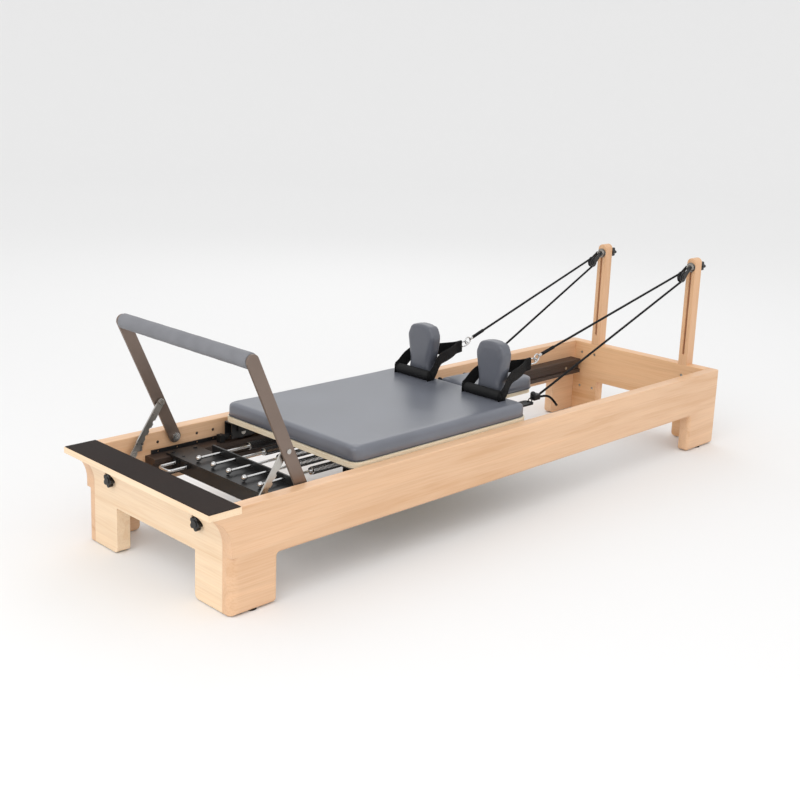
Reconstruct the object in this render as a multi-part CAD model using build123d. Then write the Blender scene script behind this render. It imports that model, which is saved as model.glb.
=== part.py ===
"""Pilates reformer: a wooden frame with a rolling carriage, springs, a footbar and rope pulleys.

Units are millimetres, +Z is up. X runs from the foot end (platform, footbar) to the head end
(riser posts). Y is 0 on the centre line. Lengths along X below are measured from the outer face
of the foot-end legs; every node is moved by FOOT_X when it is written, which puts the origin at
the bottom centre of the whole machine's box.
"""
from build123d import *
import os
from math import atan2, cos, degrees, hypot, pi, radians, sin

# ---------------------------------------------------------------- driving dimensions
FRAME_LENGTH = 2320.0       # leg face at the foot end to the outer face of the head panel
FRAME_WIDTH = 690.0
RAIL_TOP = 294.0
RAIL_BOTTOM = 138.0
RAIL_T = 40.0
FOOT_LEG_X = 149.0          # leg width along the rail, foot end
HEAD_LEG_X = 185.0
LEG_Y = 158.0               # leg width across the frame
FOOT_PANEL_T = 30.0
FOOT_LEG_T = 42.0
HEAD_PANEL_T = 45.0
OVERHANG = 71.0             # platform front edge beyond the leg face
PLATFORM_BACK = 30.0
PLATFORM_T = 18.0
GRIP_PAD_T = 2.0
COVE_R = 100.0
CORNER_R = 25.0             # rounding of the foot legs' outer corners
CORNER_TOP = 162.0
GLIDE_T = 3.0
COVE_SWEEP = 65.5           # degrees of the cove's arc
KNOB_REACH = 33.5           # riser knob beyond the head panel
KNOB_AT = (208.0, 219.0)    # platform knobs, Y and Z
KNOB_SCREW_R = 5.0
KNOB_RECESS_R = 23.0
SUNK_SCREW_R = 6.0
SOCKET_R = 2.5
TRACK_SCREW_X = (260.0, 640.0, 1020.0, 1400.0, 1780.0, 2160.0)
GLIDE_R = 16.0
GLIDE_AT = ((75.0, 325.0), (2228.0, 325.0), (21.0, 240.0), (2298.0, 240.0))
EDGE_R = 3.0

TRACK_START = 170.0
TRACK_END = 2249.0
TRACK_TOP = 228.0
TRACK_BOTTOM = 170.0
TRACK_W = 50.0
GROOVE_DEPTH = 8.0
GROOVE_Z = (185.0, 213.0)

PIVOT = (269.0, 271.0)      # footbar hinge, X and Z
BAR = (96.0, 648.0)         # centre of the footbar's cross tube
STRUT_AT = 0.315            # strut pivot, share of the arm's length from its hinge
STRUT_REST = (140.0, 279.0)
STRUT_LENGTH = 175.0
ARM_W = 38.0
ARM_T = 8.0
ARM_OUT = 301.0             # outer face of an arm from the centre line
STUD_R = 5.0
HINGE_R = 8.0
STRUT_W = 22.0
STRUT_T = 5.0
STRUT_Y = 286.5             # middle of a strut from the centre line
NOTCH_AT = (62.0, 86.0, 110.0, 134.0, 158.0)
REST_PIN_R = 5.5
TUBE_R = 16.0
TUBE_WALL = 2.0
GRIP_R = 22.0

CARRIAGE_FOOT = 453.0
CARRIAGE_HEAD = 1212.0
CARRIAGE_HALF = 300.0
BOARD_Z = 286.0
BOARD_T = 16.0
PAD_T = 43.0
PAD_HEAD = 1207.0
WHEEL_R = 24.0
WHEEL_X = (495.0, 1140.0)
WHEEL_Y = 273.0
AXLE_R = 5.0
AXLE_Z = TRACK_TOP + WHEEL_R + 0.1
ROLLER_R = 14.0
ROLLER_X = (600.0, 1040.0)
ROLLER_Y = 290.5
ROLLER_Z = 267.0
ROLLER_PIN_R = 4.0
CROSS_BAR_X = (560.0, 830.0, 1100.0)
CHANNEL_T = 3.0             # sheet of the cross bars, angles and wheel brackets
BRACKET_HALF = 45.0         # half the length of a wheel bracket
ANCHOR_X = 652.0            # foot side of the spring anchor plate

REST_Y = 157.0              # shoulder rests, rope brackets and handles
REST_FRONT = 1172.0
REST_T = 42.0
REST_Z = 348.0
POST_T = 6.0
POST_HALF = 20.0
POST_TOP = 502.0
POST_SCREW_Z = (400.0, 440.0, 480.0)
GRIP_X = 1152.0
ROLL_R = 17.0                # foam roll of a hand strap
BRACKET_END = 1402.0
RING_X = 1386.0
RING_Z = 421.0
STRAP_W = 36.0
STRAP_BEND = (1208.0, 72.0, 410.0)    # where a hand strap turns level: X, from the rest's middle, Z
RING_WIRE_R = 2.5
ADJUSTER_X = BRACKET_END + 43.4   # where the rope enters its cord lock

HEADREST_X = (1214.0, 1500.0)
HEADREST_HALF = 95.0
HEADREST_PIVOT = (1219.0, 338.0)
HEADREST_PIN_R = 3.5

RISER_Y = 207.0
RISER_W = 38.0
RISER_TOP = 711.0
SLOT_W = 9.0
SLOT_Z = (333.0, 692.0)
TENON_X = (2285.0, 2310.0)
TENON_BOTTOM = 214.0
TENON_HALF = 10.0
EYE_Z = 676.0
EYE_X = 2254.0
EYE_R = 9.0
EYE_BOLT_R = 4.0
EYE_BOLT_END = 2345.0
SHEAVE = (2213.0, 645.0)
SHEAVE_R = 20.0
SHEAVE_W = 14.0
SHEAVE_PIN_R = 4.0
CHEEK_HEAD_R = 14.0
CHEEK_EYE_R = 7.0
CHEEK_Y = 9.0               # cheek plates from the middle of the block
CHEEK_T = 2.0
ROPE_R = 4.0
ROPE_BEND = 17.2            # rope centre line round the sheave

SPRING_BAR_X = 282.0        # middle of the spring bar at the second index hole
SPRING_BAR_ENDS = (SPRING_BAR_X - 57.0, SPRING_BAR_X + 53.0)
SPRING_BAR_T = 6.0
INDEX_X = (214.0, 282.0, 355.0, 415.0)
INDEX_H = 12.0
INDEX_HOLE_R = 3.2
HANDLE_Y = (163.0, 218.0)
HANDLE_HINGE = (SPRING_BAR_ENDS[0] - 5.0, TRACK_TOP - 8.0)
HANDLE_REACH = 62.0
HANDLE_R = 4.0
HANDLE_PIN_R = 2.0
SPRING_Y = (-144.0, -72.0, 0.0, 72.0, 144.0)
SPRING_Z = 246.0
SPRING_COIL = (430.0, 626.0)
SPRING_ROD = (250.0, 668.0) # foot and head end of a spring with its rods
SPRING_ROD_R = 4.0
SPRING_BALL_R = 9.0
SPRING_R = 11.0
SPRING_WIRE_R = 1.7
SPRING_PITCH = 9.8

RUN = 0.05                  # radial clearance of every shaft in its hole
FOOT_X = -(FRAME_LENGTH + KNOB_REACH - OVERHANG) / 2
HALF = FRAME_WIDTH / 2
INNER = HALF - RAIL_T
HEAD_INNER = FRAME_LENGTH - HEAD_PANEL_T
BOARD_TOP = BOARD_Z + BOARD_T
PAD_TOP = BOARD_TOP + PAD_T
PLATFORM_UNDER = RAIL_TOP - PLATFORM_T
SIDES = {"right": -1, "left": 1}


# ---------------------------------------------------------------- helpers
def block(x, y, z):
    """A box between two limits on each axis."""
    size = [abs(b - a) for a, b in (x, y, z)]
    centre = [(a + b) / 2 for a, b in (x, y, z)]
    return Pos(*centre) * Box(*size)


def rod(axis, centre, radius, length):
    """A cylinder along axis 'X', 'Y' or 'Z' about its centre."""
    turn = {"X": Rot(0, 90, 0), "Y": Rot(90, 0, 0), "Z": Rot(0, 0, 0)}[axis]
    return Pos(*centre) * turn * Cylinder(radius, length)


def rod_between(start, end, radius):
    """A round bar between two points."""
    run = Vector(*end) - Vector(*start)
    plane = Plane(origin=start, z_dir=run)
    return plane * Pos(0, 0, run.length / 2) * Cylinder(radius, run.length)


def slab_xz(points, y, thick):
    """A flat plate in XZ between y and y + thick."""
    edges = Polyline(*[Vector(x, y, z) for x, z in points], close=True)
    return extrude(make_face(edges), amount=thick, dir=(0, 1, 0))


def ring(centre, normal, radius, wire_r):
    """A torus about a centre, its axis along normal."""
    return Plane(origin=centre, z_dir=normal) * Torus(radius, wire_r)


def rounded_block(x, y, z, corner, edge):
    """A slab with rounded upright corners and softly rounded top edges."""
    body = block(x, y, z)
    body = fillet(body.edges().filter_by(Axis.Z), corner)
    return fillet(body.faces().sort_by(Axis.Z)[-1].edges(), edge)


def star_knob(face_x, y, z, way, lobe_r=18.0, head=15.0, hub=5.0):
    """A five-lobed clamping knob on an X axis; way is the side it stands out to."""
    profile = Circle(lobe_r * 0.72)
    for k in range(5):
        turn = radians(90 + 72 * k)
        profile += Pos(lobe_r * 0.66 * cos(turn), lobe_r * 0.66 * sin(turn)) * Circle(lobe_r * 0.34)
    plane = Plane(origin=(face_x + way * hub, y, z), z_dir=(way, 0, 0))
    body = extrude(plane * profile, amount=head)
    tip = plane.origin + Vector(way * (head + 2), 0, 0)
    body += rod("X", (tip.X - way * 2, y, z), lobe_r * 0.5, 4)
    return body + rod("X", (face_x + way * hub / 2, y, z), lobe_r * 0.55, hub)


def both(make):
    """The same piece made on the right and on the left side."""
    return Compound([make(side) for side in SIDES.values()])


# ---------------------------------------------------------------- wooden frame
def cove_points():
    """Ends and middle of the hollow under the platform, as X and Z."""
    centre_z = PLATFORM_UNDER - COVE_R * sin(radians(COVE_SWEEP))
    points = []
    for turn in (0, COVE_SWEEP / 2, COVE_SWEEP):
        a = radians(turn)
        points.append((COVE_R * cos(a) - COVE_R, centre_z + COVE_R * sin(a)))
    return points


def profile_with_cove(points, y, thick):
    """A plate in XZ whose outline starts and ends at the cove's two ends."""
    low, middle, high = [Vector(x, y, z) for x, z in cove_points()]
    outline = Polyline(high, *[Vector(x, y, z) for x, z in points], low)
    edges = outline + ThreePointArc(low, middle, high)
    return extrude(make_face(edges), amount=thick, dir=(0, 1, 0))


def side_rail(side):
    """A side rail with its two leg portions, coved at the foot end."""
    points = [
        (PLATFORM_BACK, PLATFORM_UNDER),
        (PLATFORM_BACK, RAIL_TOP),
        (FRAME_LENGTH, RAIL_TOP),
        (FRAME_LENGTH, GLIDE_T),
        (FRAME_LENGTH - HEAD_LEG_X, GLIDE_T),
        (FRAME_LENGTH - HEAD_LEG_X, RAIL_BOTTOM),
        (FOOT_LEG_X, RAIL_BOTTOM),
        (FOOT_LEG_X, GLIDE_T),
        (0, GLIDE_T),
    ]
    start = INNER if side > 0 else -HALF
    rail = profile_with_cove(points, start, RAIL_T)
    across = rail.edges().filter_by(Axis.Y)
    feet = across.filter_by(lambda e: e.center().Z < GLIDE_T + 1 and e.center().X > 1)
    rail = fillet(feet, 12)
    under_rail = rail.edges().filter_by(Axis.Y)
    knees = under_rail.filter_by(lambda e: abs(e.center().Z - RAIL_BOTTOM) < 1)
    rail = fillet(knees, 9)
    outer = side * HALF
    head = rail.edges().filter_by(Axis.Z).filter_by(lambda e: e.center().X > FRAME_LENGTH - 1)
    rail = fillet(head.filter_by(lambda e: abs(e.center().Y - outer) < 1), 12)
    corner = block((0, CORNER_R), (outer, outer - side * CORNER_R), (GLIDE_T, CORNER_TOP))
    round_z = (GLIDE_T + CORNER_TOP) / 2
    corner -= rod("Z", (CORNER_R, outer - side * CORNER_R, round_z), CORNER_R, CORNER_TOP)
    rail -= corner
    tops = rail.edges().filter_by(Axis.X).filter_by(lambda e: abs(e.center().Z - RAIL_TOP) < 1)
    rail = fillet(tops, EDGE_R)
    return rail - rod("Y", (PIVOT[0], side * (INNER + 10), PIVOT[1]), HINGE_R, 20)


def leg_portion(y, face, thick):
    """The part of an end panel that reaches the floor on one side."""
    x = (face, face + thick)
    leg = block(x, (y * INNER, y * (HALF - LEG_Y)), (GLIDE_T, RAIL_BOTTOM + 20))
    low = leg.edges().filter_by(Axis.X).filter_by(lambda e: e.center().Z < GLIDE_T + 1)
    inner = low.filter_by(lambda e: abs(e.center().Y) < INNER - 1)
    return fillet(inner, 14)


def foot_end_panel():
    """The coved end panel under the platform, with recesses for the two star knobs."""
    points = [(FOOT_PANEL_T, PLATFORM_UNDER), (FOOT_PANEL_T, RAIL_BOTTOM), (0, RAIL_BOTTOM)]
    panel = profile_with_cove(points, -INNER, 2 * INNER)
    for side in SIDES.values():
        panel += leg_portion(side, 0, FOOT_LEG_T)
    y, z = KNOB_AT
    for side in SIDES.values():
        panel -= rod("X", (-30, side * y, z), KNOB_RECESS_R, 60)
        panel -= rod("X", (FOOT_PANEL_T / 2, side * y, z), KNOB_SCREW_R + RUN, FOOT_PANEL_T + 4)
    return panel


def head_end_panel():
    """The end panel between the rails that carries the riser posts."""
    panel = block((HEAD_INNER, FRAME_LENGTH), (-INNER, INNER), (RAIL_BOTTOM, RAIL_TOP))
    for side in SIDES.values():
        panel += leg_portion(side, HEAD_INNER, HEAD_PANEL_T)
    tops = panel.edges().filter_by(Axis.Y).filter_by(lambda e: e.center().Z > RAIL_TOP - 1)
    panel = fillet(tops, EDGE_R)
    for side in SIDES.values():
        panel -= tenon(side * RISER_Y)
        for y, z in head_bolt_places(side):
            panel -= rod("X", (HEAD_INNER + 4, y, z), SUNK_SCREW_R, 8)
    return panel


def tenon(y):
    """The tongue of a riser post, which fills its mortise in the head panel."""
    return block(TENON_X, (y - TENON_HALF, y + TENON_HALF), (TENON_BOTTOM, RAIL_TOP))


def head_bolt_places(side):
    """Y and Z of the four sunk screws beside each head leg."""
    return [(side * y, z) for y in (RISER_Y, 270.0) for z in (107.0, 250.0)]


def platform_board():
    """The standing platform at the foot end."""
    body = block((-OVERHANG, PLATFORM_BACK), (-HALF, HALF), (PLATFORM_UNDER, RAIL_TOP))
    front = body.edges().filter_by(Axis.Y).filter_by(lambda e: e.center().X < 0)
    return fillet(front, 2)


def platform_grip_pad():
    """The thin grip sheet that covers the platform."""
    return rounded_block(
        (-OVERHANG + 2, PLATFORM_BACK - 1),
        (-HALF + 2, HALF - 2),
        (RAIL_TOP, RAIL_TOP + GRIP_PAD_T),
        2,
        0.8,
    )


def frame_fasteners():
    """Socket screws sunk in the head panel and pan screws that hold the tracks."""
    screws = []
    for side in SIDES.values():
        for y, z in head_bolt_places(side):
            head = rod("X", (HEAD_INNER + 5, y, z), SUNK_SCREW_R - 0.1, 6)
            screws.append(head - rod("X", (HEAD_INNER + 3, y, z), SOCKET_R, 4))
        face = side * (INNER - TRACK_W + GROOVE_DEPTH)
        for x in TRACK_SCREW_X:
            screws.append(rod("Y", (x, face - side * 1.5, sum(GROOVE_Z) / 2), 5.5, 3))
    return Compound(screws)


def leg_glides():
    """Eight round glides under the legs."""
    places = [(x, side * y) for side in SIDES.values() for x, y in GLIDE_AT]
    return Compound([rod("Z", (x, y, GLIDE_T / 2), GLIDE_R, GLIDE_T) for x, y in places])


def track(side):
    """The aluminium running track on the inside of a rail, grooved along its inner face."""
    inner = side * (INNER - TRACK_W)
    outer = side * INNER
    bar = block((TRACK_START, TRACK_END), (inner, outer), (TRACK_BOTTOM, TRACK_TOP))
    bar -= block((TRACK_START, TRACK_END), (inner, inner + side * GROOVE_DEPTH), GROOVE_Z)
    inner_edges = bar.edges().filter_by(Axis.X).filter_by(lambda e: abs(e.center().Y - inner) < 1)
    return fillet(inner_edges, 2)


# ---------------------------------------------------------------- risers and pulleys
def riser_post(side):
    """A slotted wooden post with a round top and a tenon in the head panel."""
    y = side * RISER_Y
    half = RISER_W / 2
    post = block((HEAD_INNER, FRAME_LENGTH), (y - half, y + half), (RAIL_TOP, RISER_TOP - half))
    post += rod("X", (FRAME_LENGTH - HEAD_PANEL_T / 2, y, RISER_TOP - half), half, HEAD_PANEL_T)
    slot_half = SLOT_W / 2
    x = (HEAD_INNER - 1, FRAME_LENGTH + 1)
    post -= block(x, (y - slot_half, y + slot_half), (SLOT_Z[0] + slot_half, SLOT_Z[1] - slot_half))
    for z in (SLOT_Z[0] + slot_half, SLOT_Z[1] - slot_half):
        post -= rod("X", (FRAME_LENGTH - HEAD_PANEL_T / 2, y, z), slot_half, HEAD_PANEL_T + 2)
    uprights = post.edges().filter_by(Axis.Z).filter_by(lambda e: abs(abs(e.center().Y - y) - half) < 1)
    post = fillet(uprights, 2.5)
    return post + tenon(y)


def riser_bolt(side):
    """The eye bolt through the slot, with its washer and boss."""
    y = side * RISER_Y
    start = EYE_X + EYE_R
    bolt = rod("X", ((start + EYE_BOLT_END) / 2, y, EYE_Z), EYE_BOLT_R, EYE_BOLT_END - start)
    bolt += rod("X", (HEAD_INNER - 2, y, EYE_Z), RISER_W / 2 - 0.5, 3.9)
    bolt += Pos(HEAD_INNER - 6.5, y, EYE_Z) * Rot(0, -90, 0) * Cone(14, 9, 5.2)
    return bolt + ring((EYE_X, y, EYE_Z), (0, 1, 0), EYE_R, 2.5)


def pulley_block(side):
    """Two cheek plates joined by the sheave pin and by the pin through the eye."""
    y = side * RISER_Y
    eye = (EYE_X, EYE_Z)
    cheeks = []
    for way in (-1, 1):
        cheek_y = y + way * CHEEK_Y
        plate = rod("Y", insert_y(SHEAVE, cheek_y), CHEEK_HEAD_R, CHEEK_T)
        plate += rod("Y", insert_y(eye, cheek_y), CHEEK_EYE_R, CHEEK_T)
        cheeks.append(plate + cheek_web(SHEAVE, eye, cheek_y))
    body = cheeks[0] + cheeks[1]
    body += rod("Y", insert_y(SHEAVE, y), SHEAVE_PIN_R, 2 * CHEEK_Y)
    body += rod("Y", insert_y(eye, y), 2.8, 2 * CHEEK_Y)
    for way in (-1, 1):
        for point, head_r in ((SHEAVE, 6.5), (eye, 4.5)):
            body += rod("Y", insert_y(point, y + way * (CHEEK_Y + CHEEK_T)), head_r, 2)
    return body


def insert_y(point, y):
    """X and Z of a point with Y put between them."""
    return point[0], y, point[1]


def cheek_web(start, end, y):
    """The straight-sided middle of a pulley cheek."""
    (x0, z0), (x1, z1) = start, end
    length = hypot(x1 - x0, z1 - z0)
    nx, nz = -(z1 - z0) / length, (x1 - x0) / length
    wide, narrow = CHEEK_HEAD_R - 1, CHEEK_EYE_R - 0.2
    corners = [
        (x0 + nx * wide, z0 + nz * wide),
        (x1 + nx * narrow, z1 + nz * narrow),
        (x1 - nx * narrow, z1 - nz * narrow),
        (x0 - nx * wide, z0 - nz * wide),
    ]
    return slab_xz(corners, y - CHEEK_T / 2, CHEEK_T)


def pulley_sheave(side):
    """The grooved rope wheel."""
    y = side * RISER_Y
    centre = insert_y(SHEAVE, y)
    wheel = rod("Y", centre, SHEAVE_R, SHEAVE_W)
    wheel -= ring(centre, (0, 1, 0), ROPE_BEND + 1.5, ROPE_R + 2.2)
    return wheel - rod("Y", centre, SHEAVE_PIN_R + RUN, SHEAVE_W + 2)


def riser_knob(side):
    """The star knob that clamps the eye bolt from behind."""
    y = side * RISER_Y
    knob = rod("X", (FRAME_LENGTH + 2, y, EYE_Z), 14, 3.8)
    knob += star_knob(FRAME_LENGTH + 3.5, y, EYE_Z, 1, head=22, hub=6)
    return knob - rod("X", (FRAME_LENGTH + 12.5, y, EYE_Z), EYE_BOLT_R + RUN, 27)


def platform_knob(side):
    """The star knob under the platform's overhang, on its screw."""
    y, z = side * KNOB_AT[0], KNOB_AT[1]
    knob = star_knob(-0.2, y, z, -1, lobe_r=20, head=13, hub=4)
    return knob + rod("X", (12, y, z), KNOB_SCREW_R, 25)


# ---------------------------------------------------------------- footbar
def along_arm(share):
    """X and Z of a point on the footbar arm, from its hinge (0) to the cross tube (1)."""
    return tuple(a + (b - a) * share for a, b in zip(PIVOT, BAR))


def flat_bar(start, end, width, y, thick):
    """A flat bar in XZ with round ends, between y and y + thick."""
    (x0, z0), (x1, z1) = start, end
    length = hypot(x1 - x0, z1 - z0)
    tilt = degrees(atan2(z1 - z0, x1 - x0))
    shape = SlotCenterToCenter(length, width)
    middle = ((x0 + x1) / 2, y, (z0 + z1) / 2)
    plane = Plane(origin=middle, x_dir=(cos(radians(tilt)), 0, sin(radians(tilt))), z_dir=(0, 1, 0))
    return extrude(plane * shape, amount=thick)


def footbar_arm(side):
    """One flat arm with its strut stud."""
    y = min(side * ARM_OUT, side * (ARM_OUT - ARM_T))
    arm = flat_bar(PIVOT, BAR, ARM_W, y, ARM_T)
    arm = fillet(arm.faces().sort_by(Axis.Y)[0].edges(), 1)
    arm = fillet(arm.faces().sort_by(Axis.Y)[-1].edges(), 1)
    arm -= rod("Y", insert_y(PIVOT, side * (ARM_OUT - ARM_T / 2)), HINGE_R + RUN, ARM_T + 4)
    stud = along_arm(STRUT_AT)
    arm += rod("Y", insert_y(stud, side * 287), STUD_R, 14)
    arm += rod("Y", insert_y(stud, side * 281.5), 9, 4)
    return arm + rod("Y", insert_y(stud, side * 302.4), 7, 3.2)


def footbar_tube():
    """The steel cross tube inside the grip."""
    half = ARM_OUT - ARM_T
    tube = rod("Y", insert_y(BAR, 0), TUBE_R, 2 * half)
    return tube - rod("Y", insert_y(BAR, 0), TUBE_R - TUBE_WALL, 2 * half)


def footbar_grip():
    """The padded sleeve on the cross tube."""
    length = 2 * (ARM_OUT - ARM_T) - 2
    sleeve = rod("Y", insert_y(BAR, 0), GRIP_R, length)
    sleeve = fillet(sleeve.edges(), 4)
    return sleeve - rod("Y", insert_y(BAR, 0), TUBE_R, length + 2)


def footbar_strut(side):
    """A notched support strut that hooks over its rest pin."""
    top = along_arm(STRUT_AT)
    run = hypot(STRUT_REST[0] - top[0], STRUT_REST[1] - top[1])
    reach = STRUT_LENGTH / run
    end = tuple(a + (b - a) * reach for a, b in zip(top, STRUT_REST))
    y = side * STRUT_Y
    strut = flat_bar(top, end, STRUT_W, y - STRUT_T / 2, STRUT_T)
    ux, uz = (end[0] - top[0]) / STRUT_LENGTH, (end[1] - top[1]) / STRUT_LENGTH
    nx, nz = -uz, ux
    for step in NOTCH_AT:
        notch = (top[0] + ux * step + nx * 12, top[1] + uz * step + nz * 12)
        strut -= rod("Y", insert_y(notch, y), REST_PIN_R + 0.5, STRUT_T + 3)
    return strut - rod("Y", insert_y(top, y), STUD_R + RUN, STRUT_T + 3)


def pivot_bolt(side):
    """The footbar's hinge bolt, screwed into the rail."""
    bolt = rod("Y", insert_y(PIVOT, side * (INNER + 3)), HINGE_R, 34)
    bolt += rod("Y", insert_y(PIVOT, side * 289.7), 13, 5.6)
    bolt -= rod("Y", insert_y(PIVOT, side * 287), 4, 3)
    return bolt + rod("Y", insert_y(PIVOT, side * 303.2), 15, 3.4)


def strut_rest_pin(side):
    """A plate on the rail with the pin the strut rests on."""
    x, z = STRUT_REST
    ux, uz = -0.58, -0.815
    pin_x, pin_z = x - uz * 12, z + ux * 12
    plate = rod("Y", (pin_x, side * (INNER - 1.5), pin_z), 13, 3)
    plate += block((pin_x - 9, pin_x + 9), (side * (INNER - 3), side * INNER), (pin_z - 26, pin_z))
    return plate + rod("Y", (pin_x, side * 295.7, pin_z), REST_PIN_R, 12.3)


# ---------------------------------------------------------------- spring gear
def index_plate(side):
    """A strip on the rail with the four index holes of the spring bar."""
    y = (side * (INNER - 4), side * INNER)
    strip = block((INDEX_X[0] - 24, INDEX_X[-1] + 25), y, (TRACK_TOP, TRACK_TOP + INDEX_H))
    for x in INDEX_X:
        strip -= rod("Y", (x, side * INNER, TRACK_TOP + INDEX_H / 2), INDEX_HOLE_R, 12)
    return strip


def spring_bar():
    """The folded steel bar across the tracks, with a row of holes for the springs."""
    x0, x1 = SPRING_BAR_ENDS
    top = TRACK_TOP + SPRING_BAR_T
    bar = block((x0, x1), (-281, 281), (TRACK_TOP, top))
    bar = fillet(bar.edges().filter_by(Axis.Z), 6)
    bar += block((x0 + 4, x1 - 4), (-250, 250), (TRACK_TOP - 40, TRACK_TOP))
    bar -= block((x0 + 8, x1 - 8), (-246, 246), (TRACK_TOP - 41, TRACK_TOP))
    bar += block((x1 - 6, x1), (-190, 190), (top, SPRING_Z + 12))
    for y in SPRING_Y:
        bar -= rod("X", (x1 - 3, y, SPRING_Z), 5.6, 10)
    for y in (-262, 262):
        for x in (x0 + 16, x1 - 16):
            bar += rod("Z", (x, y, top + 1.5), 6, 3)
    for y in range(-216, 217, 72):
        bar += rod("Z", (x0 + 20, y, top + 1), 4.5, 2)
    for y in HANDLE_Y:
        for way in (-1, 1):
            lug_y = (y + way * 4.3, y + way * 7)
            bar += block((x0 - 10, x0 + 5), lug_y, (TRACK_TOP - 13, TRACK_TOP))
        bar += rod("Y", insert_y(HANDLE_HINGE, y), HANDLE_PIN_R, 12)
    return bar


def spring_bar_handle():
    """The U-shaped pull handle on the foot side of the spring bar."""
    x, z = HANDLE_HINGE
    pull = x - HANDLE_REACH
    start, end = HANDLE_Y
    path = FilletPolyline((x, start, z), (pull, start, z), (pull, end, z), (x, end, z), radius=14)
    section = Plane(origin=(x, start, z), z_dir=(-1, 0, 0)) * Circle(HANDLE_R)
    bail = sweep(section, path=path)
    for y in HANDLE_Y:
        bail += rod("Y", (x, y, z), HANDLE_R + 1.2, 8.4)
        bail -= rod("Y", (x, y, z), HANDLE_PIN_R + RUN, 10)
    return bail


def tension_spring(y):
    """A coil spring with a straight rod end through the spring bar and a short one at the anchor."""
    start, end = SPRING_COIL
    turns = Helix(SPRING_PITCH, end - start, SPRING_R, center=(start, y, SPRING_Z), direction=(1, 0, 0))
    section = Plane(origin=turns @ 0, z_dir=turns % 0) * Circle(SPRING_WIRE_R)
    coil = sweep(section, path=turns)
    foot, anchor = SPRING_ROD
    front = rod("X", ((foot + start) / 2, y, SPRING_Z), SPRING_ROD_R, start - foot)
    front += Pos(foot - 2, y, SPRING_Z) * Sphere(SPRING_BALL_R)
    front += rod("X", (start, y, SPRING_Z), SPRING_R, 4)
    back = rod("X", ((end + anchor) / 2, y, SPRING_Z), SPRING_ROD_R, anchor - end)
    back += rod("X", (end, y, SPRING_Z), SPRING_R, 4)
    return [front, coil, back]


def tension_springs():
    """All five springs."""
    return Compound([piece for y in SPRING_Y for piece in tension_spring(y)])


def carriage_bumpers():
    """The rubber stops on the tracks that the carriage rests against."""
    def bumper(side):
        foot = block((414, 430), (side * 263, side * 283), (TRACK_TOP, TRACK_TOP + 24))
        return foot + rod("X", (439.5, side * WHEEL_Y, TRACK_TOP + 13), 9.5, 20)
    return both(bumper)


# ---------------------------------------------------------------- carriage
def carriage_board():
    """The plywood board of the carriage."""
    x = (CARRIAGE_FOOT, CARRIAGE_HEAD)
    body = block(x, (-CARRIAGE_HALF, CARRIAGE_HALF), (BOARD_Z, BOARD_TOP))
    return fillet(body.edges().filter_by(Axis.Z), 30)


def carriage_pad():
    """The upholstered pad on the board."""
    return rounded_block(
        (CARRIAGE_FOOT + 4, PAD_HEAD),
        (-CARRIAGE_HALF + 3, CARRIAGE_HALF - 3),
        (BOARD_TOP, PAD_TOP),
        28,
        10,
    )


def carriage_underframe():
    """Steel cross bars, side angles, wheel brackets and the spring anchor plate."""
    half, inner_half = 20, 20 - CHANNEL_T
    frame = None
    for x in CROSS_BAR_X:
        bar = block((x - half, x + half), (-250, 250), (BOARD_Z - 22, BOARD_Z))
        hollow = (BOARD_Z - 22, BOARD_Z - CHANNEL_T)
        bar -= block((x - inner_half, x + inner_half), (-250, 250), hollow)
        frame = bar if frame is None else frame + bar
    for side in SIDES.values():
        long_x = (470, 1190)
        frame += block(long_x, (side * 225, side * 250), (BOARD_Z - CHANNEL_T, BOARD_Z))
        frame += block(long_x, (side * (250 - CHANNEL_T), side * 250), (BOARD_Z - 30, BOARD_Z))
        for x in WHEEL_X:
            frame += wheel_bracket(x, side)
    anchor = block((ANCHOR_X, ANCHOR_X + 6), (-190, 190), (SPRING_Z - 16, BOARD_Z))
    anchor += block((ANCHOR_X, ANCHOR_X + 38), (-190, 190), (BOARD_Z - 4, BOARD_Z))
    for y in SPRING_Y:
        anchor -= rod("X", (ANCHOR_X + 3, y, SPRING_Z), SPRING_ROD_R + 0.5, 10)
    return Compound([frame, anchor])


def wheel_bracket(x, side):
    """A channel under the board that holds one running wheel."""
    along = (x - BRACKET_HALF, x + BRACKET_HALF)
    upright = (TRACK_TOP + 8, BOARD_Z)
    inner = block(along, (side * 255, side * (255 + CHANNEL_T)), upright)
    outer = block(along, (side * 288, side * (288 + CHANNEL_T)), upright)
    top = block(along, (side * 250, side * (288 + CHANNEL_T)), (BOARD_Z - CHANNEL_T, BOARD_Z))
    return inner + outer + top - rod("Y", (x, side * WHEEL_Y, AXLE_Z), AXLE_R, 60)


def wheel_axles():
    """The four wheel axles and the four upright roller axles with their flanges."""
    parts = []
    for side in SIDES.values():
        for x in WHEEL_X:
            axle = rod("Y", (x, side * WHEEL_Y, AXLE_Z), AXLE_R, 36)
            axle += rod("Y", (x, side * 253.5, AXLE_Z), AXLE_R + 3, 3)
            parts.append(axle + rod("Y", (x, side * 292.5, AXLE_Z), AXLE_R + 3, 3))
        for x in ROLLER_X:
            pin = rod("Z", (x, side * ROLLER_Y, ROLLER_Z + 2), ROLLER_PIN_R, 34)
            pin += rod("Z", (x, side * ROLLER_Y, BOARD_Z - 1.5), 9, 3)
            parts.append(pin + rod("Z", (x, side * ROLLER_Y, ROLLER_Z - 14), 7, 3))
    return Compound(parts)


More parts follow.
